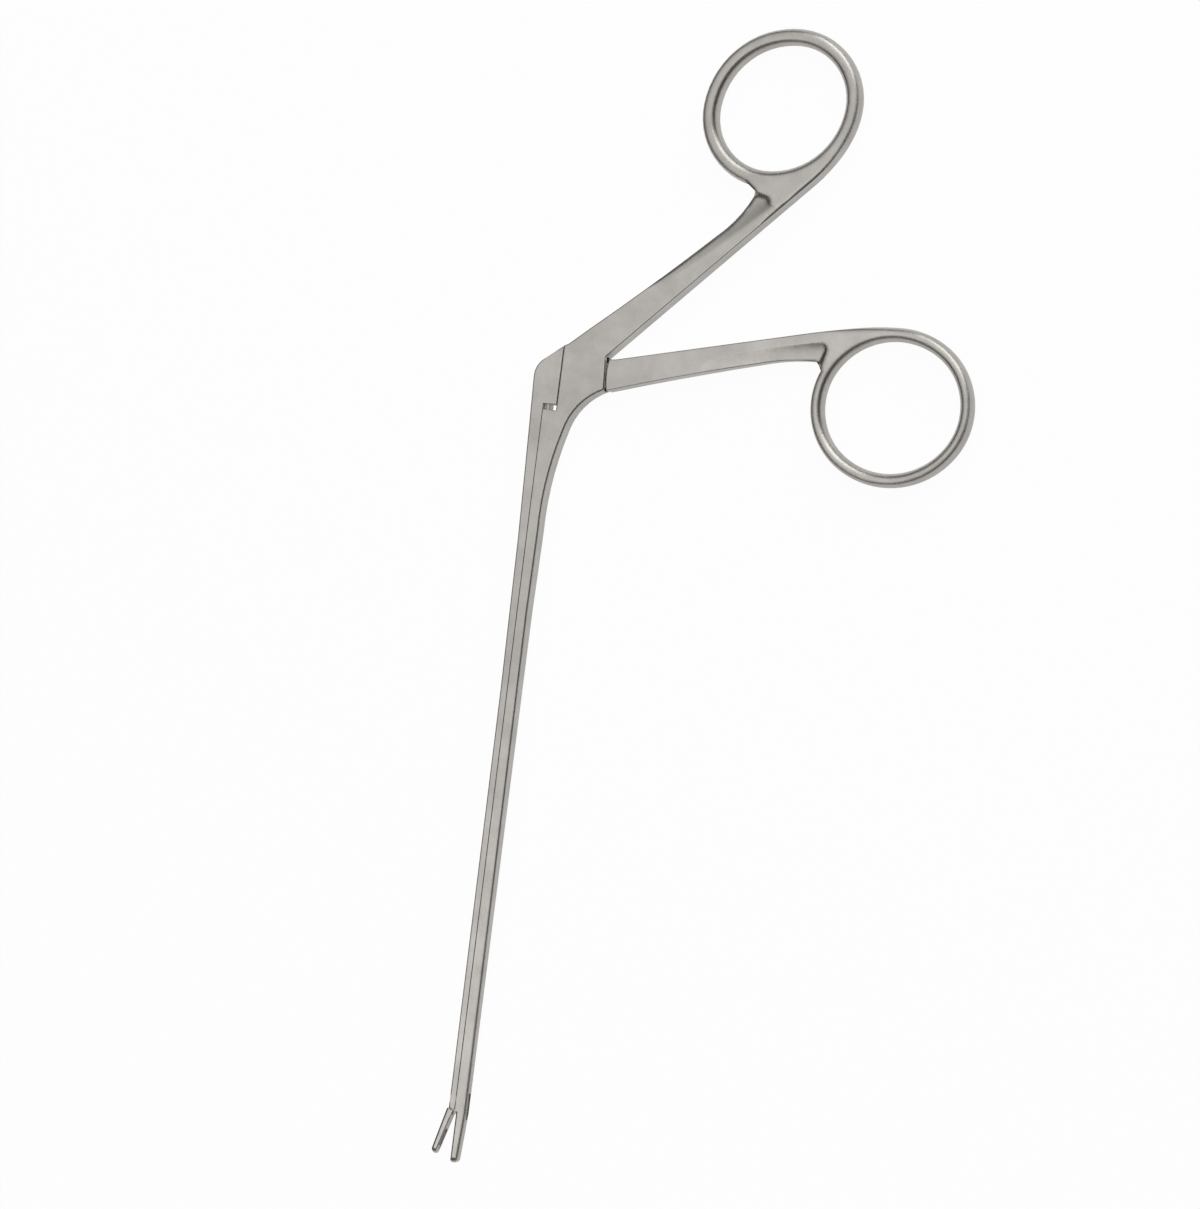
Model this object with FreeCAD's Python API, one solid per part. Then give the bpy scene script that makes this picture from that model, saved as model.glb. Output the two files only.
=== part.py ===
import FreeCAD, Part
import math
import os

# Disc rongeur, millimetres. It lies flat with +Z up. The origin is the lever's pivot axis on the lower
# face of the hub. +X runs along the slide from the tip to the handles, +Y towards the slide.

# Thicknesses, all centred on one middle plane
BODY_T = 4.2
TIP_T = 2.4
MID_Z = BODY_T / 2

# Running clearances
SLIDE_GAP = 0.06
FORK_GAP = 0.10
PIN_GAP = 0.04
TANG_GAP = 0.08
STOP_GAP = 1.15
SHOULDER_GAP = 0.60
HEEL_GAP = 0.15

# Hub, with the lever's pivot at X 0, Y 0
HUB_TOP_Y = 4.60
HUB_REAR_X = 4.80
HUB_SHOULDER = (5.30, 3.70)
CHEEK_REAR = (3.56, -3.82)
CHEEK_FRONT = (-2.95, -4.19)
BELLY = (-6.0, -0.15)
THROAT = (-11.6, 2.67)
SHAFT_ROOT = (-20.2, 4.48)
STEP_X = -7.75
LEVER_PIN_R = 1.0
FORK_W = 2.0

# Fixed shaft under the slide: parallel seam, and an underside that runs in over a long curve
SEAM_Y = 7.28
UNDERSIDE_Y = 5.06
UNDERSIDE_X = -31.0
THIN_Y = 5.26
THIN_X = -47.0
SHAFT_TIP_Y = 5.00

# Slanting crease, where the faces of shaft and slide start to taper to the tip
CREASE_X = -22.6
SLIDE_CREASE_X = -24.1
CREASE_TURN = 45.0
TAPER_SETBACK = 7.3

# T-rails under the slide, and their slots in the shaft
RAIL_NECK_H = 0.65
RAIL_HEAD_H = 0.45
REAR_RAIL_NECK_W = 1.5
REAR_RAIL_HEAD_W = 2.9
REAR_RAIL_END_X = -19.0
TIP_RAIL_NECK_W = 0.7
TIP_RAIL_HEAD_W = 1.5
TIP_RAIL_SETBACK = 5.3
TIP_RAIL_LEN = 7.0

# Slide
SLIDE_CREST = (1.57, 8.60)
SLIDE_CROWN = (-1.60, 9.88)
SLIDE_FALL = (-14.0, 9.47)
SLIDE_WAIST = (-33.0, 8.94)
SLIDE_THIN_X = -62.0
SLIDE_THIN_Y = 8.62
SLIDE_TIP_Y = 8.48
SLIDE_NOSE_R = 0.30
DRIVE_PIN_Y = 6.0
DRIVE_PIN_R = 0.65
DRIVE_PRONG = 0.75

# Jaws: the moving jaw is built closed and then opened
JAW_OPEN = 16.5
JAW_PIVOT_X = -141.3
JAW_PIVOT_Y = 6.12
LINK_RISE = 1.88
JAW_PIN_R = 0.35
BOSS_R = 0.66
HEEL_REACH = 2.35
HEEL_LIP = 0.08
JAW_LEN = 8.85
JAW_H = 1.32
JAW_TIP_FALL = 0.30
JAW_W = 2.3
JAW_TIP_R = 0.35
FIXED_JAW_LEN = 9.45
FIXED_JAW_LOW_Y = 5.50
FIXED_TIP_R = 0.45
JAW_STEP = 0.1
TANG_W = 1.0
BITE_Y = 6.98
BITE_GAP = 0.05
CUP_R = 0.75
CUP_WALL = 1.0
CUP_LEN = 4.3

# Rear handle with the thumb ring
THUMB_RING_X = 54.74
THUMB_RING_Y = -32.17
THUMB_RING_A = 13.16
THUMB_RING_B = 11.5
THUMB_RING_TURN = -47.5
THUMB_RING_W = 3.25
HANDLE_NECK = (8.61, -0.08)
HANDLE_WAIST = (19.0, -12.0)
HANDLE_FLARE = (29.3, -23.05)
HANDLE_CORNER = (38.3, -29.3)
HANDLE_JOIN = -108.0
HANDLE_WEB = 155.0
HANDLE_LEAN = -44.0
HANDLE_SCOOP_START = (16.8, -7.9)
HANDLE_SCOOP_LEAN = -42.0
HANDLE_SCOOP_LEN = 31.4
HANDLE_SCOOP_D = 1.25
HANDLE_SCOOP_R = 16.0
HANDLE_SCOOP_CORNER = (36.35, -31.05)
HANDLE_SCOOP_WALL = 76.4

# Front lever with the finger ring
FINGER_RING_X = 0.0
FINGER_RING_Y = -61.31
FINGER_RING_A = 13.5
FINGER_RING_B = 12.65
FINGER_RING_TURN = -78.4
FINGER_RING_W = 2.72
LEVER_ROOT_Y = -6.0
LEVER_FRONT_X = -2.52
LEVER_REAR_X = 3.25
LEVER_WAIST = (1.64, -19.9)
LEVER_FLARE = (5.50, -34.2)
LEVER_CORNER = (7.15, -45.4)
LEVER_WEB = 68.0
LEVER_JOIN = 2.0
LEVER_LEAN = -76.4
TONGUE_HALF = 2.45
SHOULDER_FRONT_INSET = 0.07
SHOULDER_REAR_INSET = 0.46
SHOULDER_REAR_DROP = 0.80
SHOULDER_CROWN = 0.30
LEVER_BEND = 0.40
LEVER_SCOOP_START = (3.5, -23.0)
LEVER_SCOOP_LEAN = -84.0
LEVER_SCOOP_LEN = 24.4
LEVER_SCOOP_D = 1.08
LEVER_SCOOP_R = 12.5
LEVER_SCOOP_CORNER = (9.45, -46.0)
LEVER_SCOOP_WALL = 166.8

# Both rings and both hollows
RING_IN_BULGE = 0.95
RING_OUT_BULGE = 0.65
RING_END_SHARE = 0.66
WEB_SINK = 1.3
SCOOP_CORNER_R = 1.45
SCOOP_WALL_SLOPE = 0.9

# Softened long edges: width of the shaft's and slide's, and of the jaws', and half the sweep of their arc
EDGE_R = 0.40
JAW_EDGE_R = 0.30
EDGE_HALF_SWEEP = 30.0

# The two rings: centre, inner half axes, turn of the long axis and width of the bar
THUMB_RING = {
    "at": (THUMB_RING_X, THUMB_RING_Y), "a": THUMB_RING_A, "b": THUMB_RING_B,
    "turn": THUMB_RING_TURN, "w": THUMB_RING_W,
}
FINGER_RING = {
    "at": (FINGER_RING_X, FINGER_RING_Y), "a": FINGER_RING_A, "b": FINGER_RING_B,
    "turn": FINGER_RING_TURN, "w": FINGER_RING_W,
}

# Movement and places worked out from the sizes above
HALF_OPEN = math.radians(JAW_OPEN / 2)
SLIDE_TRAVEL = 2 * LINK_RISE * math.tan(HALF_OPEN)
LEVER_TRAVEL = 2 * math.atan(SLIDE_TRAVEL / 2 / DRIVE_PIN_Y)
DRIVE_PIN_X = SLIDE_TRAVEL / 2
LINK_X = JAW_PIVOT_X + SLIDE_TRAVEL / 2
LINK_Y = JAW_PIVOT_Y + LINK_RISE
JAW_HEEL_X = JAW_PIVOT_X - HEEL_REACH
JAW_TIP_X = JAW_HEEL_X - JAW_LEN
FIXED_JAW_TIP_X = JAW_HEEL_X - FIXED_JAW_LEN
TIP_RAIL_X0 = JAW_PIVOT_X + TIP_RAIL_SETBACK
TIP_RAIL_X1 = TIP_RAIL_X0 + TIP_RAIL_LEN
TAPER_END_X = JAW_PIVOT_X + TAPER_SETBACK
SHAFT_STEP_X = JAW_HEEL_X + HEEL_GAP + JAW_STEP
NOSE_X = JAW_HEEL_X + SLIDE_TRAVEL + HEEL_GAP


def vec(point, z=MID_Z):
    return FreeCAD.Vector(point[0], point[1], z)


def line(p, q):
    return Part.makeLine(vec(p), vec(q))


def arc(p, mid, q):
    return Part.Arc(vec(p), vec(mid), vec(q)).toShape()


def slab(edges, thickness):
    """A plate of one closed outline, centred on the middle plane."""
    face = Part.Face(Part.Wire(edges))
    face.translate(FreeCAD.Vector(0, 0, -thickness / 2))
    return face.extrude(FreeCAD.Vector(0, 0, thickness))


def plate(points, thickness):
    """A plate of one closed polygon, centred on the middle plane."""
    closed = points + [points[0]]
    return slab([line(p, q) for p, q in zip(closed, closed[1:])], thickness)


def block(x0, x1, y0, y1, thickness):
    return plate([(x0, y0), (x1, y0), (x1, y1), (x0, y1)], thickness)


def pin(x, y, radius, length):
    base = FreeCAD.Vector(x, y, MID_Z - length / 2)
    return Part.makeCylinder(radius, length, base)


def turned(shape, degrees, at):
    copy = shape.copy()
    copy.rotate(vec(at, 0), FreeCAD.Vector(0, 0, 1), degrees)
    return copy


def solid_of(shape):
    """The one solid of a finished piece, with its split faces joined again."""
    solids = shape.removeSplitter().Solids
    if len(solids) != 1:
        raise ValueError("a piece came apart into %d solids" % len(solids))
    return solids[0]


def polar(at, radius, degrees):
    turn = math.radians(degrees)
    return (at[0] + radius * math.cos(turn), at[1] + radius * math.sin(turn))


def oval_arcs(ring):
    """The four tangent arcs of a ring's centre line: centre, radius, start angle, sweep."""
    a = ring["a"] + ring["w"] / 2
    b = ring["b"] + ring["w"] / 2
    end_r = b - RING_END_SHARE * (a - b)
    reach = a - end_r
    side_r = (b * b + reach * reach - end_r * end_r) / (2 * (b - end_r))
    drop = side_r - b
    half = math.degrees(math.atan2(drop, reach))
    turn = ring["turn"]
    arcs = []
    for side in (0, 180):
        arcs.append((polar(ring["at"], reach, turn + side), end_r, turn + side - half, 2 * half))
        flat_turn = turn + side + 90
        centre = polar(ring["at"], -drop, flat_turn)
        arcs.append((centre, side_r, flat_turn - 90 + half, 180 - 2 * half))
    return arcs


def ring_band(ring):
    """The ring's rounded bar, with a narrow flat on each face and bulging inner and outer walls."""
    top = BODY_T / 2
    band = None
    for centre, radius, start, sweep in oval_arcs(ring):
        inner = radius - ring["w"] / 2
        outer = radius + ring["w"] / 2

        def at(r, z):
            return vec(polar(centre, r, start), MID_Z + z)

        profile = Part.Wire([
            Part.makeLine(at(inner + RING_IN_BULGE, top), at(outer - RING_OUT_BULGE, top)),
            Part.Arc(at(outer - RING_OUT_BULGE, top), at(outer, 0),
                     at(outer - RING_OUT_BULGE, -top)).toShape(),
            Part.makeLine(at(outer - RING_OUT_BULGE, -top), at(inner + RING_IN_BULGE, -top)),
            Part.Arc(at(inner + RING_IN_BULGE, -top), at(inner, 0),
                     at(inner + RING_IN_BULGE, top)).toShape(),
        ])
        axis = FreeCAD.Vector(0, 0, 1)
        piece = Part.Face(profile).revolve(vec(centre), axis, sweep)
        band = piece if band is None else band.fuse(piece)
    return band


def ring_inside(ring):
    """Everything within the ring's centre line, to trim the handle that meets it."""
    edges = []
    for centre, radius, start, sweep in oval_arcs(ring):
        edges.append(arc(polar(centre, radius, start), polar(centre, radius, start + sweep / 2),
                         polar(centre, radius, start + sweep)))
    return slab(Part.__sortEdges__(edges), BODY_T + 2)


def ring_touch(ring, degrees, inset):
    """Where a line from the middle of the ring meets its outer wall, and the wall's direction there."""
    for centre, radius, start, sweep in oval_arcs(ring):
        ahead = (degrees - start) % 360
        if ahead <= sweep:
            outer = radius + ring["w"] / 2 - inset
            return polar(centre, outer, degrees), degrees + 90
    raise ValueError("no arc at this angle")


def blend_into(root, toward, end, end_turn):
    """A straight edge from root and the tangent arc that carries it on to end, in direction end_turn.

    The edge leaves root in the direction toward, in degrees.
    """
    ux = math.cos(math.radians(toward))
    uy = math.sin(math.radians(toward))
    tx = math.cos(math.radians(end_turn))
    ty = math.sin(math.radians(end_turn))
    dx = end[0] - root[0]
    dy = end[1] - root[1]
    run = (dx * ty - dy * tx) / (ux * ty - uy * tx)
    corner = (root[0] + run * ux, root[1] + run * uy)
    reach = math.hypot(end[0] - corner[0], end[1] - corner[1])
    start = (corner[0] - reach * ux, corner[1] - reach * uy)
    chord = ((start[0] + end[0]) / 2, (start[1] + end[1]) / 2)
    half = math.radians((end_turn - toward + 180) % 360 - 180) / 2
    sag = reach * math.cos(half) * math.tan(half / 2)
    long = math.hypot(corner[0] - chord[0], corner[1] - chord[1])
    middle = (chord[0] + (corner[0] - chord[0]) * abs(sag) / long,
              chord[1] + (corner[1] - chord[1]) * abs(sag) / long)
    return start, middle


def handle_loft(outline):
    """A bar whose inner wall bulges more and more towards the ring: three outlines lofted in Z."""
    wires = []
    for z, inset in ((-BODY_T / 2, RING_OUT_BULGE), (0, 0), (BODY_T / 2, RING_OUT_BULGE)):
        wire = outline(inset)
        wire.translate(FreeCAD.Vector(0, 0, z))
        wires.append(wire)
    return Part.makeLoft(wires, True, False)


def scoop(start, lean, length, depth, radius, corner, wall, side):
    """Cutters for the hollow ground into a handle's outer edge, on both faces.

    A wheel of this radius leaves start in the direction lean and is depth deep after length. The hollow
    stops at a sloping end wall in the direction wall, in degrees, with a rounded corner about corner.
    The handle's outside is on the left of the lean for side 1, on its right for side -1.
    """
    along = FreeCAD.Vector(*polar((0, 0), 1, lean), 0)
    off = FreeCAD.Vector(*polar((0, 0), 1, lean + 90 * side), 0)
    wall_run = FreeCAD.Vector(*polar((0, 0), 1, wall), 0)
    ahead = FreeCAD.Vector(*polar((0, 0), 1, wall - 90 * side), 0)
    past = length + 2 * radius
    cutters = []
    for face in (1, -1):
        up = FreeCAD.Vector(0, 0, face)
        origin = vec(start) + up * (BODY_T / 2 + radius)
        middle = vec(corner) + up * BODY_T / 2

        def at(degrees):
            turn = math.radians(degrees)
            return origin - off * radius * math.sin(turn) - up * radius * math.cos(turn)

        rim = at(60) + up * radius
        profile = Part.Wire([
            Part.Arc(at(60), at(15), at(-30)).toShape(),
            Part.makeLine(at(-30), at(-30) + up * radius),
            Part.makeLine(at(-30) + up * radius, rim),
            Part.makeLine(rim, at(60)),
        ])
        wheel = Part.Face(profile).extrude((along * length - up * depth) * 1.3)

        def on(reach, rise):
            return middle + ahead * reach + up * rise

        low = -SCOOP_CORNER_R / SCOOP_WALL_SLOPE
        high = 2 * BODY_T
        slope = Part.makePolygon([
            on(0, low), on(SCOOP_CORNER_R + high * SCOOP_WALL_SLOPE, high), on(-past, high), on(-past, low), on(0, low),
        ])
        trench = Part.Face(slope).extrude(wall_run * past)
        back = Part.makePolygon([on(0, low), on(0, high), on(-past, high), on(-past, low), on(0, low)])
        behind = Part.Face(back).extrude(wall_run * -past)
        cone = Part.makeCone(0, SCOOP_CORNER_R + high * SCOOP_WALL_SLOPE, high - low, middle + up * low, up)
        cutters.append(wheel.common(trench.fuse([behind, cone])))
    return cutters


def shaft_relief(crease_x):
    """Cutters that taper both faces in front of a slanting crease, down to the tip's thickness."""
    turn = math.radians(CREASE_TURN)
    ahead = FreeCAD.Vector(-math.cos(turn), -math.sin(turn), 0)
    side = FreeCAD.Vector(-math.sin(turn), math.cos(turn), 0)
    origin = vec((crease_x, UNDERSIDE_Y))
    run = (vec((TAPER_END_X, SEAM_Y)) - origin).dot(ahead)
    past = -2 * FIXED_JAW_TIP_X
    cutters = []
    for face in (1, -1):
        up = FreeCAD.Vector(0, 0, face)

        def at(reach, rise):
            return origin + ahead * reach + up * rise - side * past / 2

        profile = Part.makePolygon([
            at(0, BODY_T / 2), at(run, TIP_T / 2), at(past, TIP_T / 2),
            at(past, BODY_T), at(0, BODY_T), at(0, BODY_T / 2),
        ])
        cutters.append(Part.Face(profile).extrude(side * past))
    return cutters


def rim_edges(shape, face, inside):
    """The edges round one flat side whose ends and middle are all inside the wanted stretch."""
    found = []
    for edge in shape.Edges:
        middle = edge.valueAt((edge.FirstParameter + edge.LastParameter) / 2)
        points = [corner.Point for corner in edge.Vertexes] + [middle]
        if all((point.z - MID_Z) * face > TIP_T / 2 - TANG_GAP and inside(point) for point in points):
            found.append(edge)
    return found


def edge_softener(shape, face, inside, width):
    """A cutter that follows a run of edges and leaves them softly rounded, width in from both sides."""
    chain = Part.__sortEdges__(rim_edges(shape, face, inside))
    first = chain[0]
    here = first.valueAt(first.FirstParameter)
    ahead = first.tangentAt(first.FirstParameter)
    if first.Orientation == "Reversed":
        here = first.valueAt(first.LastParameter)
        ahead = first.tangentAt(first.LastParameter) * -1
    up = FreeCAD.Vector(0, 0, face)
    inner = ahead.cross(up).normalize()
    if not shape.isInside(here + ahead * width + inner * width / 2 - up * width / 2, PIN_GAP / 100, True):
        inner = inner * -1
    side = here + inner * width
    wall = here - up * width
    bulge = width / math.sqrt(2) * math.tan(math.radians(EDGE_HALF_SWEEP / 2))
    middle = (side + wall) / 2 + (up - inner).normalize() * bulge
    profile = Part.Wire([
        Part.makeLine(side, middle),
        Part.makeLine(middle, wall),
        Part.makeLine(wall, wall - inner * width),
        Part.makeLine(wall - inner * width, here - inner * width + up * width),
        Part.makeLine(here - inner * width + up * width, side + up * width),
        Part.makeLine(side + up * width, side),
    ])
    return Part.Wire(chain).makePipeShell([profile], True, False)


def softened(shape, runs, width):
    """The shape with each run of its edges softened, on both flat sides."""
    cutters = []
    for inside in runs:
        for face in (1, -1):
            cutters.append(edge_softener(shape, face, inside, width))
    return shape.cut(cutters)


def rail(x0, x1, neck_w, head_w, grow=0.0):
    """A T-rail below the slide, or with grow its slot in the shaft."""
    top = SEAM_Y + SLIDE_GAP + RAIL_HEAD_H
    neck_low = SEAM_Y + SLIDE_GAP - RAIL_NECK_H
    head_low = neck_low - RAIL_HEAD_H
    neck = block(x0, x1, neck_low, top, neck_w + 2 * grow)
    head = block(x0, x1, head_low - grow, neck_low + grow, head_w + 2 * grow)
    return neck.fuse(head)


def cup(x1, y):
    """The cutter of one cup: a round-ended trough along the bite."""
    x0 = x1 - CUP_LEN + 2 * CUP_R
    tube = Part.makeCylinder(CUP_R, x1 - x0, FreeCAD.Vector(x0, y, MID_Z), FreeCAD.Vector(1, 0, 0))
    ends = [Part.makeSphere(CUP_R, FreeCAD.Vector(x, y, MID_Z)) for x in (x0, x1)]
    return tube.fuse(ends)


def hub_outline():
    """Hub, thick shaft root and the long tapered shaft, seen from above."""
    return [
        line((STEP_X, HUB_TOP_Y), (HUB_REAR_X, HUB_TOP_Y)),
        line((HUB_REAR_X, HUB_TOP_Y), HUB_SHOULDER),
        line(HUB_SHOULDER, CHEEK_REAR),
        line(CHEEK_REAR, CHEEK_FRONT),
        arc(CHEEK_FRONT, BELLY, THROAT),
        arc(THROAT, SHAFT_ROOT, (UNDERSIDE_X, UNDERSIDE_Y)),
        line((UNDERSIDE_X, UNDERSIDE_Y), (THIN_X, THIN_Y)),
        line((THIN_X, THIN_Y), (SHAFT_STEP_X, SHAFT_TIP_Y)),
        line((SHAFT_STEP_X, SHAFT_TIP_Y), (SHAFT_STEP_X, SEAM_Y)),
        line((SHAFT_STEP_X, SEAM_Y), (STEP_X, SEAM_Y)),
        line((STEP_X, SEAM_Y), (STEP_X, HUB_TOP_Y)),
    ]


def rear_handle_outline(inset):
    """The rear handle from the hub to the middle of its ring."""
    touch, turn = ring_touch(THUMB_RING, HANDLE_JOIN, inset)
    root = CHEEK_REAR
    start, middle = blend_into(root, HANDLE_LEAN, touch, turn)
    web, _ = ring_touch(THUMB_RING, HANDLE_WEB, WEB_SINK)
    centre = THUMB_RING["at"]
    bend = (HANDLE_FLARE[0] * 0.51 + HANDLE_CORNER[0] * 0.49, HANDLE_FLARE[1] * 0.38 + HANDLE_CORNER[1] * 0.62)
    return Part.Wire([
        line(HUB_SHOULDER, HANDLE_NECK),
        arc(HANDLE_NECK, HANDLE_WAIST, HANDLE_FLARE),
        arc(HANDLE_FLARE, bend, HANDLE_CORNER),
        line(HANDLE_CORNER, web),
        line(web, centre),
        line(centre, touch),
        arc(touch, middle, start),
        line(start, root),
        line(root, HUB_SHOULDER),
    ])


def lever_outline(inset):
    """The finger lever from its shoulder to the middle of its ring."""
    touch, turn = ring_touch(FINGER_RING, LEVER_JOIN, inset)
    root = (LEVER_REAR_X, LEVER_ROOT_Y)
    start, middle = blend_into(root, LEVER_LEAN, touch, turn + 180)
    centre = FINGER_RING["at"]
    web, _ = ring_touch(FINGER_RING, LEVER_WEB, WEB_SINK)
    front = (LEVER_FRONT_X, LEVER_ROOT_Y)
    front_top = (CHEEK_FRONT[0] + SHOULDER_FRONT_INSET, CHEEK_FRONT[1] - SHOULDER_GAP)
    rear_top = (CHEEK_REAR[0] - SHOULDER_REAR_INSET, CHEEK_REAR[1] - SHOULDER_REAR_DROP)
    crown = (0, (front_top[1] + rear_top[1]) / 2 + SHOULDER_CROWN)
    bend = ((LEVER_FLARE[0] + LEVER_CORNER[0]) / 2 + LEVER_BEND, (LEVER_FLARE[1] + LEVER_CORNER[1]) / 2)
    return Part.Wire([
        line(front_top, front),
        arc(front, LEVER_WAIST, LEVER_FLARE),
        arc(LEVER_FLARE, bend, LEVER_CORNER),
        line(LEVER_CORNER, web),
        line(web, centre),
        line(centre, touch),
        arc(touch, middle, start),
        line(start, root),
        line(root, rear_top),
        arc(rear_top, crown, front_top),
    ])


def tip_waste(tip, edge, bite, back, width):
    """What is ground off a jaw's bar to round its tip: seen from the side, and seen along Y.

    The bite is at Y bite and the jaw's back at Y back. edge sets the roundness.
    """
    out = 1 if back > bite else -1
    ahead = tip - width
    half = width / 2
    nose = (tip, bite + out * edge * 1.15)
    edges = [
        arc((tip + edge, bite), (tip + 0.26 * edge, bite + out * 0.33 * edge), nose),
        arc(nose, (tip + 0.82 * edge, back - out * 0.70 * edge), (tip + 3 * edge, back)),
        line((tip + 3 * edge, back), (tip + 3 * edge, back + out * width)),
        line((tip + 3 * edge, back + out * width), (ahead, back + out * width)),
        line((ahead, back + out * width), (ahead, bite - out * width)),
        line((ahead, bite - out * width), (tip + edge, bite - out * width)),
        line((tip + edge, bite - out * width), (tip + edge, bite)),
    ]
    side = slab(edges, 2 * width)
    low = min(bite, back) - width
    tall = abs(back - bite) + 2 * width
    round_end = Part.makeCylinder(half, tall, FreeCAD.Vector(tip + half, low, MID_Z), FreeCAD.Vector(0, 1, 0))
    plan = block(ahead, tip + half, low, low + tall, 2 * width).cut(round_end)
    return [side, plan]


def along_line(p, q, x):
    """The point at x on the line through p and q."""
    return (x, p[1] + (q[1] - p[1]) * (x - p[0]) / (q[0] - p[0]))


def frame():
    """Rear handle, hub, fixed shaft and fixed cup, one forging."""
    tip = FIXED_JAW_TIP_X
    step = (SHAFT_STEP_X, SHAFT_TIP_Y)
    jaw_end = along_line(step, (tip + 3 * FIXED_TIP_R, FIXED_JAW_LOW_Y), tip - TIP_T / 2)
    jaw = plate([step, (SHAFT_STEP_X, BITE_Y), (jaw_end[0], BITE_Y), jaw_end], TIP_T)
    body = slab(hub_outline(), BODY_T).cut(shaft_relief(CREASE_X)).fuse(jaw).removeSplitter()
    below = SEAM_Y - EDGE_R * 2
    body = softened(body, [
        lambda at: at.y < below and CHEEK_FRONT[0] + PIN_GAP > at.x > THROAT[0] - PIN_GAP,
        lambda at: at.y < SHAFT_TIP_Y + EDGE_R * 2 and THROAT[0] + PIN_GAP > at.x,
    ], EDGE_R)
    body = softened(body, [
        lambda at: abs(at.y - BITE_Y) < PIN_GAP and SHAFT_STEP_X + PIN_GAP > at.x,
    ], JAW_EDGE_R)
    body = body.cut(tip_waste(tip, FIXED_TIP_R, BITE_Y, FIXED_JAW_LOW_Y, TIP_T))
    handle = handle_loft(rear_handle_outline)
    handle = handle.cut(scoop(HANDLE_SCOOP_START, HANDLE_SCOOP_LEAN, HANDLE_SCOOP_LEN, HANDLE_SCOOP_D,
                              HANDLE_SCOOP_R, HANDLE_SCOOP_CORNER, HANDLE_SCOOP_WALL, 1))
    handle = handle.cut(ring_inside(THUMB_RING))
    whole = body.fuse([handle, ring_band(THUMB_RING)])

    fork = block(CHEEK_FRONT[0], CHEEK_REAR[0], 2 * CHEEK_FRONT[1], 2 * HUB_TOP_Y, FORK_W)
    rear_slot = rail(REAR_RAIL_END_X - STOP_GAP, STEP_X + 1, REAR_RAIL_NECK_W, REAR_RAIL_HEAD_W, SLIDE_GAP)
    tip_slot = rail(TIP_RAIL_X0 - STOP_GAP, TIP_RAIL_X1 + STOP_GAP / 4, TIP_RAIL_NECK_W, TIP_RAIL_HEAD_W, SLIDE_GAP)
    tang_slot = block(JAW_HEEL_X - 1.05, JAW_PIVOT_X + 1.6, 0, 2 * SEAM_Y, TANG_W + 2 * TANG_GAP)
    cup_end = FIXED_JAW_TIP_X + CUP_WALL + CUP_LEN - CUP_R
    holes = [pin(0, 0, LEVER_PIN_R, BODY_T), pin(JAW_PIVOT_X, JAW_PIVOT_Y, JAW_PIN_R, BODY_T)]
    return solid_of(whole.cut([fork, rear_slot, tip_slot, tang_slot, cup(cup_end, BITE_Y)] + holes))


def slide_outline():
    """The slide's head and long bar, seen from above."""
    low = SEAM_Y + SLIDE_GAP
    seat = HUB_TOP_Y + SLIDE_GAP
    rear_x = HUB_REAR_X - SLIDE_GAP
    step = STEP_X + STOP_GAP
    brow = ((SLIDE_CREST[0] + SLIDE_CROWN[0]) / 2 + 0.30, (SLIDE_CREST[1] + SLIDE_CROWN[1]) / 2 + 0.26)
    return [
        line((NOSE_X, low), (step, low)),
        line((step, low), (step, seat)),
        line((step, seat), (rear_x, seat)),
        line((rear_x, seat), SLIDE_CREST),
        arc(SLIDE_CREST, brow, SLIDE_CROWN),
        arc(SLIDE_CROWN, SLIDE_FALL, SLIDE_WAIST),
        line(SLIDE_WAIST, (SLIDE_THIN_X, SLIDE_THIN_Y)),
        line((SLIDE_THIN_X, SLIDE_THIN_Y), (NOSE_X + SLIDE_NOSE_R, SLIDE_TIP_Y)),
        line((NOSE_X + SLIDE_NOSE_R, SLIDE_TIP_Y), (NOSE_X, SLIDE_TIP_Y - 2 * SLIDE_NOSE_R)),
        line((NOSE_X, SLIDE_TIP_Y - 2 * SLIDE_NOSE_R), (NOSE_X, low)),
    ]


def drive_slide():
    """The sliding upper shaft, with its head, its two T-rails and its forked nose."""
    bar = slab(slide_outline(), BODY_T)
    bar = bar.cut(shaft_relief(SLIDE_CREASE_X))
    rear_rail = rail(REAR_RAIL_END_X, STEP_X + STOP_GAP + 1, REAR_RAIL_NECK_W, REAR_RAIL_HEAD_W)
    tip_rail = rail(TIP_RAIL_X0, TIP_RAIL_X1, TIP_RAIL_NECK_W, TIP_RAIL_HEAD_W)
    arm_half = DRIVE_PIN_R + PIN_GAP + DRIVE_PRONG + 0.25
    arm_top = DRIVE_PIN_Y + 2 * DRIVE_PIN_R
    arm_slot = block(DRIVE_PIN_X - arm_half, DRIVE_PIN_X + arm_half, 0, arm_top, FORK_W)
    nose_slot = block(FIXED_JAW_TIP_X, LINK_X + 1.1, 0, 2 * SEAM_Y, TANG_W + 2 * TANG_GAP)
    holes = [pin(DRIVE_PIN_X, DRIVE_PIN_Y, DRIVE_PIN_R, BODY_T), pin(LINK_X, LINK_Y, JAW_PIN_R, BODY_T)]
    return solid_of(bar.fuse([rear_rail, tip_rail]).cut([arm_slot, nose_slot] + holes))


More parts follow.
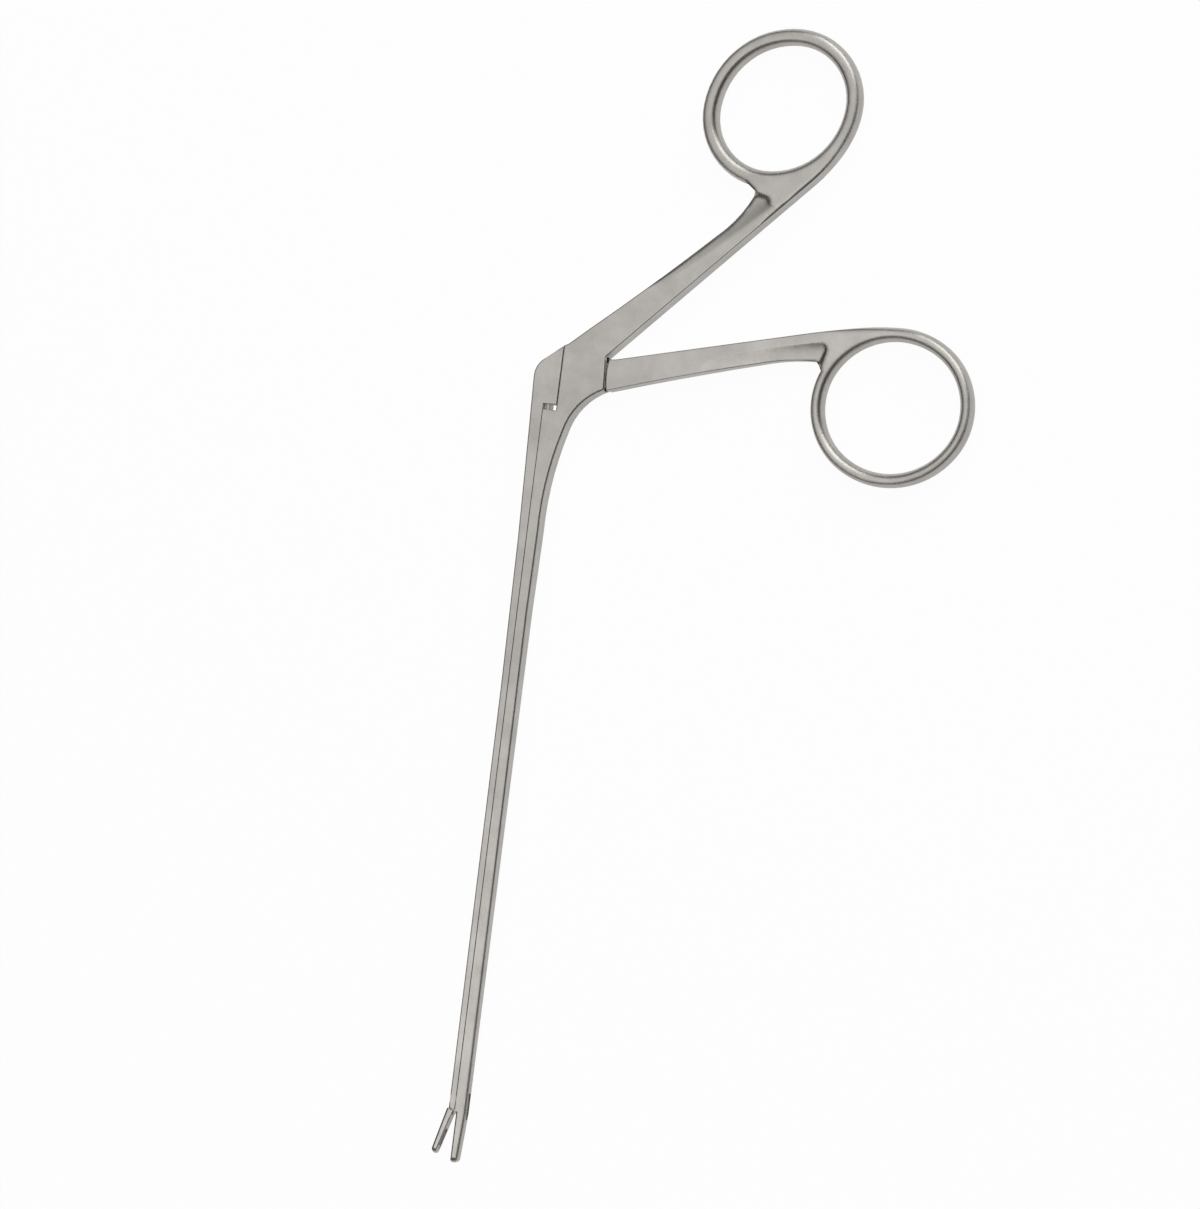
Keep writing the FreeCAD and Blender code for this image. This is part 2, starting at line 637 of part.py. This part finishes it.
def finger_lever():
    """The front lever, with its finger ring and the forked tongue that works in the hub."""
    bar = handle_loft(lever_outline)
    bar = bar.cut(scoop(LEVER_SCOOP_START, LEVER_SCOOP_LEAN, LEVER_SCOOP_LEN, LEVER_SCOOP_D,
                        LEVER_SCOOP_R, LEVER_SCOOP_CORNER, LEVER_SCOOP_WALL, -1))
    bar = bar.cut(ring_inside(FINGER_RING))
    arm_half = DRIVE_PIN_R + PIN_GAP + DRIVE_PRONG
    top = DRIVE_PIN_Y - 1.6 * arm_half
    tongue = plate([
        (-TONGUE_HALF, LEVER_ROOT_Y), (TONGUE_HALF, LEVER_ROOT_Y), (TONGUE_HALF, 0),
        (arm_half, top), (-arm_half, top), (-TONGUE_HALF, 0),
    ], FORK_W - 2 * FORK_GAP)
    arm = block(-arm_half, arm_half, 0, DRIVE_PIN_Y + DRIVE_PIN_R + 0.2, FORK_W - 2 * FORK_GAP)
    slot_half = DRIVE_PIN_R + PIN_GAP
    gap = block(-slot_half, slot_half, DRIVE_PIN_Y - DRIVE_PIN_R - 0.15, 2 * DRIVE_PIN_Y, BODY_T)
    lean = -math.degrees(LEVER_TRAVEL) / 2
    arm = turned(arm.cut(gap), lean, (0, 0))
    tongue = tongue.cut(turned(gap, lean, (0, 0))).fuse(arm)
    whole = bar.fuse([tongue, ring_band(FINGER_RING)])
    return solid_of(whole.cut(pin(0, 0, LEVER_PIN_R + PIN_GAP, BODY_T)))


def cup_jaw():
    """The moving cup, built closed on the fixed one and then opened about its pivot."""
    low = BITE_Y + BITE_GAP
    top = low + JAW_H
    tip = JAW_TIP_X
    edge = JAW_TIP_R
    brow = top - JAW_TIP_FALL
    end = along_line((JAW_HEEL_X, top), (tip + 3 * edge, brow), tip - JAW_W / 2)
    body = plate([
        (JAW_HEEL_X, low), (JAW_HEEL_X + HEEL_LIP, top - HEEL_LIP), (JAW_HEEL_X, top), end, (end[0], low),
    ], JAW_W)
    body = softened(body, [lambda at: at.y > brow - JAW_TIP_FALL], JAW_EDGE_R)
    body = body.cut(tip_waste(tip, edge, low, brow, JAW_W))
    body = body.cut(cup(tip + CUP_WALL + CUP_LEN - CUP_R, low))

    px = JAW_PIVOT_X
    py = JAW_PIVOT_Y
    link_closed = px - SLIDE_TRAVEL / 2
    eye = pin(px, py, BOSS_R, TANG_W)
    web = plate([
        (px + BOSS_R, py), (px + 0.45, LINK_Y + 0.25), (link_closed - 0.9, LINK_Y + 0.25),
        (JAW_HEEL_X - 0.6, top - 0.2), (JAW_HEEL_X - 0.9, low), (px - 2 * BOSS_R, py - JAW_PIN_R), (px, py - BOSS_R),
    ], TANG_W)
    slot_half = JAW_PIN_R + PIN_GAP
    slot = block(-slot_half, slot_half, LINK_RISE - JAW_PIN_R - 0.12, 3 * LINK_RISE, BODY_T)
    slot.translate(FreeCAD.Vector(px, py, 0))
    slot = turned(slot, JAW_OPEN / 2, (px, py))
    tang = eye.fuse(web).cut([slot, pin(px, py, slot_half, BODY_T)])
    return turned(solid_of(body.fuse(tang)), -JAW_OPEN, (px, py))


def build():
    """Every piece by its node name, at rest with the jaw open."""
    return {
        "frame": frame(),
        "drive_slide": drive_slide(),
        "finger_lever": finger_lever(),
        "cup_jaw": cup_jaw(),
        "lever_pivot_pin": pin(0, 0, LEVER_PIN_R, BODY_T),
        "slide_drive_pin": pin(DRIVE_PIN_X, DRIVE_PIN_Y, DRIVE_PIN_R, BODY_T),
        "jaw_pivot_pin": pin(JAW_PIVOT_X, JAW_PIVOT_Y, JAW_PIN_R, TIP_T),
        "jaw_link_pin": pin(LINK_X, LINK_Y, JAW_PIN_R, TIP_T),
    }


os.makedirs("parts", exist_ok=True)
for name, shape in build().items():
    shape.exportStep("parts/" + name + ".step")
    print(name, "solids", len(shape.Solids), "valid", shape.isValid(), "volume", round(shape.Volume, 2))
print("slide travel", round(SLIDE_TRAVEL, 4), "lever travel", round(LEVER_TRAVEL, 5), "rad")
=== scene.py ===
import bpy
import math
from mathutils import Matrix, Vector


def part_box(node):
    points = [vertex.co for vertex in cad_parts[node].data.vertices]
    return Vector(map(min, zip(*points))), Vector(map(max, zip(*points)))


# A disc rongeur of satin steel, lying on a white floor. This file adds no form to its solids: it gives
# them their surface, and sets the floor, the room, the lamps and the camera round them.

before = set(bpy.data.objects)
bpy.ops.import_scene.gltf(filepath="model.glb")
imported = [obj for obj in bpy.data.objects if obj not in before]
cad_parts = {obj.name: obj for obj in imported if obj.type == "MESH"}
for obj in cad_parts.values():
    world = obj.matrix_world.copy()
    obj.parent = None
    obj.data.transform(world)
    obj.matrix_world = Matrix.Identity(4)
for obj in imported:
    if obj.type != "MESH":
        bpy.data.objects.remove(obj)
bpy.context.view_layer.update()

MM = 0.001

# Camera, as in the photograph: it looks down on the flat side and leans towards the rings
HUB_TOP_Z = 4.2 * MM
PIXELS_PER_MM = 5.22
HUB_PIXEL = (584.0, 373.0)
PHOTO_SIZE = (1200, 1209)
VIEW_RIGHT = Vector((0.12637, -0.95297, -0.27564))
VIEW_UP = Vector((0.99088, 0.10808, 0.08))
CAMERA_AWAY = 6.0
SENSOR_MM = 36.0

# Satin surgical steel
STEEL_LIGHT = "bdbab5"
STEEL_DARK = "aba8a3"
STEEL_ROUGHNESS = 0.29
ROUGHNESS_SPREAD = 0.03
BEAD_MM = 0.30                # dimples of the glass-bead blast, drawn three times coarser so that they show
SMEAR_MM = 6.0                # cloudy patches left by hand finishing
BRUSH_MM = 0.35               # belt lines along the shaft, drawn a little coarser so that they show
BRUSH_STRETCH = 40            # their length against their width
SMEAR_SPREAD = (0.30, 0.70)   # values of the clouds drawn as all dark and all light
GRAIN_SPREAD = (0.25, 0.75)   # values of the fine grain drawn as its two extremes
SPECK_SHARE = 0.22            # how far a dimple shifts the tone
RELIEF_MM = 0.02
BRUSH_RELIEF = 0.02           # shares of the relief
BEAD_RELIEF = 0.06

# Widths of the rounded edges
SEAM_EDGE_MM = 0.16           # crisp edges along the slide's seam
EDGE_MM = 0.40                # hand-broken edges
TIP_EDGE_MM = 1.00            # the shaft's belly, rounder and rounder towards the jaws
RING_EDGE_MM = 1.30           # ring bars and the handle's hollow, rounded for the finger
PIN_CLEAR_MM = 0.35           # flat ground round each pin head, and as much again to fade
EDGE_SAMPLES = 8

PINS = ("lever_pivot_pin", "slide_drive_pin", "jaw_pivot_pin", "jaw_link_pin")

# Where each width holds, in mm in plan. A reach fades from its first number to its second.
THUMB_RING = (54.74, -32.17)
FINGER_RING = (0.0, -61.31)
RING_REACH = (16.5, 20.0)
HOLLOW_MIDDLE = (29.0, -23.0)
HOLLOW_REACH = (14.0, 17.0)
HOLLOW_CREASE = (36.3, -33.2)  # a point on the crease that runs along the hollow
HOLLOW_LEAN = 36.7            # direction across that crease, degrees from X
CREASE_REACH = (1.2, 2.2)
HOLLOW_CORNER = (36.35, -31.05)
CORNER_REACH = (2.5, 4.5)
SEAM_REACH = (5.2, 6.4)       # along Y, from the belly's edges to the seam's
BACK_REACH = (7.95, 8.25)     # along Y, from the seam's edges to those of the slide's back
TIP_REACH = (-95.0, -135.0)   # along X, towards the jaws

# Floor: shares of its own white that the camera and the steel's reflections see
FLOOR_WHITE = "ffffff"
FLOOR_HALF = 3.0              # metres
FLOOR_GLOW = 0.96
FLOOR_SHEEN = 0.55

# Room: bright overhead, dim round the sides and less dim past the jaws. The reaches are cosines.
ROOM_WHITE = "ffffff"
ROOM_BRIGHT = "ffffff"
ROOM_DIM = "3c3a37"
ROOM_LOW = "75716d"
BRIGHT_SIDE = (0.20, 0.12, 0.90)
BRIGHT_REACH = (0.62, 0.98)
HIGH_REACH = (0.10, 0.70)
LOW_SIDE = (-1.0, 0.0, 0.0)
LOW_REACH = (0.30, 0.90)

# Lamps: name, place, aim, side of the square in metres, watts
LAMPS = (
    ("ring_side", (0.95, -0.45, 0.72), (0, 0, 0), 1.15, 9.0),
    ("tip_side", (-0.28, 0.18, 0.60), (-0.15, 0, 0), 0.30, 0.22),
    ("finger_side", (0.01, -0.02, 0.25), (0, -0.06, 0), 0.08, 0.010),
)


def linear(hexa):
    """sRGB hex to linear RGBA."""
    out = []
    for k in (0, 2, 4):
        c = int(hexa[k:k + 2], 16) / 255
        out.append(c / 12.92 if c <= 0.04045 else ((c + 0.055) / 1.055) ** 2.4)
    return (*out, 1.0)


def node(tree, kind, settings=None, **sockets):
    """One node with its settings, its socket values and its links.

    A socket is named, or numbered as in n0. A mix takes its share in n0, numbers in n2 and n3, vectors in
    n4 and n5, and colours in n6 and n7. It gives numbers at output 0 and vectors at output 1.
    """
    made = tree.nodes.new(kind)
    for key, value in (settings or {}).items():
        setattr(made, key, value)
    for key, value in sockets.items():
        name = key.replace("_", " ")
        socket = made.inputs[int(key[1:])] if key[0] == "n" and key[1:].isdigit() else made.inputs[name]
        if isinstance(value, bpy.types.NodeSocket):
            tree.links.new(value, socket)
        else:
            socket.default_value = value
    return made


def blank(name):
    """A new material, cleared, and its tree."""
    material = bpy.data.materials.new(name)
    material.use_nodes = True
    material.node_tree.nodes.clear()
    return material, material.node_tree


def round_patch(tree, flat, middle, reach):
    """1 inside the first distance from a point in plan, fading to 0 at the second."""
    away = node(tree, "ShaderNodeVectorMath", {"operation": "DISTANCE"}, n0=flat,
                n1=(middle[0] * MM, middle[1] * MM, 0))
    return node(tree, "ShaderNodeMapRange", Value=away.outputs["Value"], From_Min=reach[0] * MM,
                From_Max=reach[1] * MM, To_Min=1.0, To_Max=0.0).outputs["Result"]


def handle_hollow(tree, flat):
    """Where the handle's hollow is rounded: along its crease, and round its corner by the ring."""
    lean = math.radians(HOLLOW_LEAN)
    across = Vector((math.cos(lean), math.sin(lean), 0))
    offset = Vector((*HOLLOW_CREASE, 0)).dot(across) * MM
    place = node(tree, "ShaderNodeVectorMath", {"operation": "DOT_PRODUCT"}, n0=flat, n1=across)
    aside = node(tree, "ShaderNodeMath", {"operation": "SUBTRACT"}, n0=place.outputs["Value"], n1=offset)
    away = node(tree, "ShaderNodeMath", {"operation": "ABSOLUTE"}, n0=aside.outputs["Value"])
    near = node(tree, "ShaderNodeMapRange", Value=away.outputs["Value"], From_Min=CREASE_REACH[0] * MM,
                From_Max=CREASE_REACH[1] * MM, To_Min=1.0, To_Max=0.0)
    crease = node(tree, "ShaderNodeMath", {"operation": "MULTIPLY"}, n0=near.outputs["Result"],
                  n1=round_patch(tree, flat, HOLLOW_MIDDLE, HOLLOW_REACH))
    return node(tree, "ShaderNodeMath", {"operation": "MAXIMUM"}, n0=crease.outputs["Value"],
                n1=round_patch(tree, flat, HOLLOW_CORNER, CORNER_REACH)).outputs["Value"]


def pin_heads(tree, flat):
    """Where the pins' heads lie, which are ground flush and have no edge to round."""
    heads = 0.0
    for name in PINS:
        low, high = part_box(name)
        middle = ((low[0] + high[0]) / 2 / MM, (low[1] + high[1]) / 2 / MM)
        full = (high[0] - low[0]) / 2 / MM + PIN_CLEAR_MM
        patch = round_patch(tree, flat, middle, (full, full + PIN_CLEAR_MM))
        heads = node(tree, "ShaderNodeMath", {"operation": "MAXIMUM"}, n0=heads, n1=patch).outputs["Value"]
    return heads


def broken_edges(tree, plan):
    """Surface direction with the edges rounded: finely in general, widely on the rings and in the hollow."""
    level = node(tree, "ShaderNodeVectorMath", {"operation": "MULTIPLY"}, n0=plan, n1=(1, 1, 0))
    flat = level.outputs["Vector"]
    rings = node(tree, "ShaderNodeMath", {"operation": "MAXIMUM"},
                 n0=round_patch(tree, flat, THUMB_RING, RING_REACH),
                 n1=round_patch(tree, flat, FINGER_RING, RING_REACH))
    wide = node(tree, "ShaderNodeMath", {"operation": "MAXIMUM"}, n0=rings.outputs["Value"],
                n1=handle_hollow(tree, flat))
    spot = node(tree, "ShaderNodeSeparateXYZ", Vector=plan)
    belly = node(tree, "ShaderNodeMapRange", Value=spot.outputs["X"], From_Min=TIP_REACH[0] * MM,
                 From_Max=TIP_REACH[1] * MM, To_Min=EDGE_MM * MM, To_Max=TIP_EDGE_MM * MM)
    below = node(tree, "ShaderNodeMapRange", Value=spot.outputs["Y"], From_Min=SEAM_REACH[0] * MM,
                 From_Max=SEAM_REACH[1] * MM, To_Min=1.0, To_Max=0.0)
    back = node(tree, "ShaderNodeMapRange", Value=spot.outputs["Y"], From_Min=BACK_REACH[0] * MM,
                From_Max=BACK_REACH[1] * MM, To_Min=SEAM_EDGE_MM * MM, To_Max=EDGE_MM * MM)
    usual = node(tree, "ShaderNodeMix", {"data_type": "FLOAT"}, n0=below.outputs["Result"],
                 n2=back.outputs["Result"], n3=belly.outputs["Result"])
    radius = node(tree, "ShaderNodeMix", {"data_type": "FLOAT"}, n0=wide.outputs["Value"],
                  n2=usual.outputs[0], n3=RING_EDGE_MM * MM)
    edge = node(tree, "ShaderNodeBevel", {"samples": EDGE_SAMPLES}, Radius=radius.outputs[0])
    plain = node(tree, "ShaderNodeNewGeometry")
    return node(tree, "ShaderNodeMix", {"data_type": "VECTOR"}, n0=pin_heads(tree, flat),
                n4=edge.outputs["Normal"], n5=plain.outputs["Normal"]).outputs[1]


def satin_steel():
    """Hardened stainless steel, belt-ground, then glass-bead blasted: soft grey, cloudy, fine grain."""
    material, tree = blank("satin_steel")
    place = node(tree, "ShaderNodeTexCoord")
    smear = node(tree, "ShaderNodeTexNoise", Vector=place.outputs["Object"], Scale=1 / (SMEAR_MM * MM),
                 Detail=4.0, Roughness=0.6)
    bead = node(tree, "ShaderNodeTexNoise", Vector=place.outputs["Object"], Scale=1 / (BEAD_MM * MM),
                Detail=2.0, Roughness=0.6)
    along = node(tree, "ShaderNodeMapping", Vector=place.outputs["Object"], Scale=(1 / BRUSH_STRETCH, 1.0, 1.0))
    brush = node(tree, "ShaderNodeTexNoise", Vector=along.outputs["Vector"], Scale=1 / (BRUSH_MM * MM),
                 Detail=2.0, Roughness=0.5)
    tone = node(tree, "ShaderNodeMapRange", Value=smear.outputs["Fac"], From_Min=SMEAR_SPREAD[0],
                From_Max=SMEAR_SPREAD[1])
    speck = node(tree, "ShaderNodeMapRange", Value=bead.outputs["Fac"], From_Min=GRAIN_SPREAD[0],
                 From_Max=GRAIN_SPREAD[1], To_Min=-SPECK_SHARE, To_Max=SPECK_SHARE)
    mixed = node(tree, "ShaderNodeMath", {"operation": "ADD", "use_clamp": True}, n0=tone.outputs["Result"],
                 n1=speck.outputs["Result"])
    colour = node(tree, "ShaderNodeMix", {"data_type": "RGBA"}, n0=mixed.outputs["Value"],
                  n6=linear(STEEL_DARK), n7=linear(STEEL_LIGHT))
    rough = node(tree, "ShaderNodeMapRange", Value=brush.outputs["Fac"], From_Min=GRAIN_SPREAD[0],
                 From_Max=GRAIN_SPREAD[1], To_Min=STEEL_ROUGHNESS - ROUGHNESS_SPREAD,
                 To_Max=STEEL_ROUGHNESS + ROUGHNESS_SPREAD)
    lines = node(tree, "ShaderNodeBump", Height=brush.outputs["Fac"], Strength=BRUSH_RELIEF,
                 Distance=RELIEF_MM * MM, Normal=broken_edges(tree, place.outputs["Object"]))
    dimples = node(tree, "ShaderNodeBump", Height=bead.outputs["Fac"], Strength=BEAD_RELIEF,
                   Distance=RELIEF_MM * MM, Normal=lines.outputs["Normal"])
    steel = node(tree, "ShaderNodeBsdfPrincipled", Base_Color=colour.outputs["Result"], Metallic=1.0,
                 Roughness=rough.outputs["Result"], Normal=dimples.outputs["Normal"])
    node(tree, "ShaderNodeOutputMaterial", Surface=steel.outputs["BSDF"])
    return material


def floor_white():
    """Plain matt white paper: white to the camera and in reflections, with the object's soft shadow."""
    material, tree = blank("floor_white")
    matt = node(tree, "ShaderNodeBsdfDiffuse", Color=linear(FLOOR_WHITE))
    glow = node(tree, "ShaderNodeEmission", Color=linear(FLOOR_WHITE), Strength=1.0)
    path = node(tree, "ShaderNodeLightPath")
    seen = node(tree, "ShaderNodeMath", {"operation": "MULTIPLY"}, n0=path.outputs["Is Camera Ray"],
                n1=FLOOR_GLOW)
    mirrored = node(tree, "ShaderNodeMath", {"operation": "MULTIPLY"}, n0=path.outputs["Is Glossy Ray"],
                    n1=FLOOR_SHEEN)
    share = node(tree, "ShaderNodeMath", {"operation": "MAXIMUM"}, n0=seen.outputs["Value"],
                 n1=mirrored.outputs["Value"])
    mix = node(tree, "ShaderNodeMixShader", n0=share.outputs["Value"], n1=matt.outputs["BSDF"],
               n2=glow.outputs["Emission"])
    node(tree, "ShaderNodeOutputMaterial", Surface=mix.outputs["Shader"])
    return material


def white_floor():
    """A wide flat sheet under the instrument."""
    mesh = bpy.data.meshes.new("floor")
    half = FLOOR_HALF
    corners = [(-half, -half, 0), (half, -half, 0), (half, half, 0), (-half, half, 0)]
    mesh.from_pydata(corners, [], [(0, 1, 2, 3)])
    floor = bpy.data.objects.new("floor", mesh)
    floor.data.materials.append(floor_white())
    bpy.context.scene.collection.objects.link(floor)


def white_room():
    """White to the camera. The steel reflects a room that is bright overhead and dim round its sides."""
    world = bpy.data.worlds.new("white_room")
    bpy.context.scene.world = world
    world.use_nodes = True
    tree = world.node_tree
    tree.nodes.clear()
    place = node(tree, "ShaderNodeTexCoord")
    facing = node(tree, "ShaderNodeVectorMath", {"operation": "DOT_PRODUCT"}, n0=place.outputs["Generated"],
                  n1=Vector(BRIGHT_SIDE).normalized())
    bright = node(tree, "ShaderNodeMapRange", Value=facing.outputs["Value"], From_Min=BRIGHT_REACH[0],
                  From_Max=BRIGHT_REACH[1])
    height = node(tree, "ShaderNodeSeparateXYZ", Vector=place.outputs["Generated"])
    high = node(tree, "ShaderNodeMapRange", Value=height.outputs["Z"], From_Min=HIGH_REACH[0],
                From_Max=HIGH_REACH[1])
    rise = node(tree, "ShaderNodeMath", {"operation": "MINIMUM"}, n0=bright.outputs["Result"],
                n1=high.outputs["Result"])
    low = node(tree, "ShaderNodeVectorMath", {"operation": "DOT_PRODUCT"}, n0=place.outputs["Generated"],
               n1=LOW_SIDE)
    past_jaws = node(tree, "ShaderNodeMapRange", Value=low.outputs["Value"], From_Min=LOW_REACH[0],
                     From_Max=LOW_REACH[1])
    dim = node(tree, "ShaderNodeMix", {"data_type": "RGBA"}, n0=past_jaws.outputs["Result"],
               n6=linear(ROOM_DIM), n7=linear(ROOM_LOW))
    sky = node(tree, "ShaderNodeMix", {"data_type": "RGBA"}, n0=rise.outputs["Value"],
               n6=dim.outputs["Result"], n7=linear(ROOM_BRIGHT))
    path = node(tree, "ShaderNodeLightPath")
    seen = node(tree, "ShaderNodeMix", {"data_type": "RGBA"}, n0=path.outputs["Is Camera Ray"],
                n6=sky.outputs["Result"], n7=linear(ROOM_WHITE))
    light = node(tree, "ShaderNodeBackground", Color=seen.outputs["Result"], Strength=1.0)
    node(tree, "ShaderNodeOutputWorld", Surface=light.outputs["Background"])


def soft_lamp(name, place, aim, size, watts):
    """A square lamp that looks at its aim."""
    lamp = bpy.data.lights.new(name, "AREA")
    lamp.shape = "SQUARE"
    lamp.size = size
    lamp.energy = watts
    holder = bpy.data.objects.new(name, lamp)
    holder.location = place
    holder.rotation_euler = (Vector(aim) - Vector(place)).to_track_quat("-Z", "Y").to_euler()
    bpy.context.scene.collection.objects.link(holder)


def photo_camera():
    """A long lens square to the photograph's view, so that parallel edges stay parallel."""
    right = VIEW_RIGHT.normalized()
    up = (VIEW_UP - right * VIEW_UP.dot(right)).normalized()
    back = right.cross(up)
    across = (PHOTO_SIZE[0] / 2 - HUB_PIXEL[0]) / PIXELS_PER_MM * MM
    rise = (HUB_PIXEL[1] - PHOTO_SIZE[1] / 2) / PIXELS_PER_MM * MM
    middle = Vector((0, 0, HUB_TOP_Z)) + right * across + up * rise
    data = bpy.data.cameras.new("photo_camera")
    data.sensor_fit = "HORIZONTAL"
    data.sensor_width = SENSOR_MM
    data.lens = SENSOR_MM * PIXELS_PER_MM / MM * CAMERA_AWAY / PHOTO_SIZE[0]
    data.clip_end = 4 * CAMERA_AWAY
    camera = bpy.data.objects.new("photo_camera", data)
    turn = Matrix((right, up, back)).transposed().to_4x4()
    camera.matrix_world = Matrix.Translation(middle + back * CAMERA_AWAY) @ turn
    bpy.context.scene.collection.objects.link(camera)
    bpy.context.scene.camera = camera


photo_camera()
white_room()
white_floor()
for lamp_setting in LAMPS:
    soft_lamp(*lamp_setting)

steel = satin_steel()
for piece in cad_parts.values():
    for slot in piece.material_slots:
        slot.material = steel

bpy.context.scene.view_settings.view_transform = "Standard"
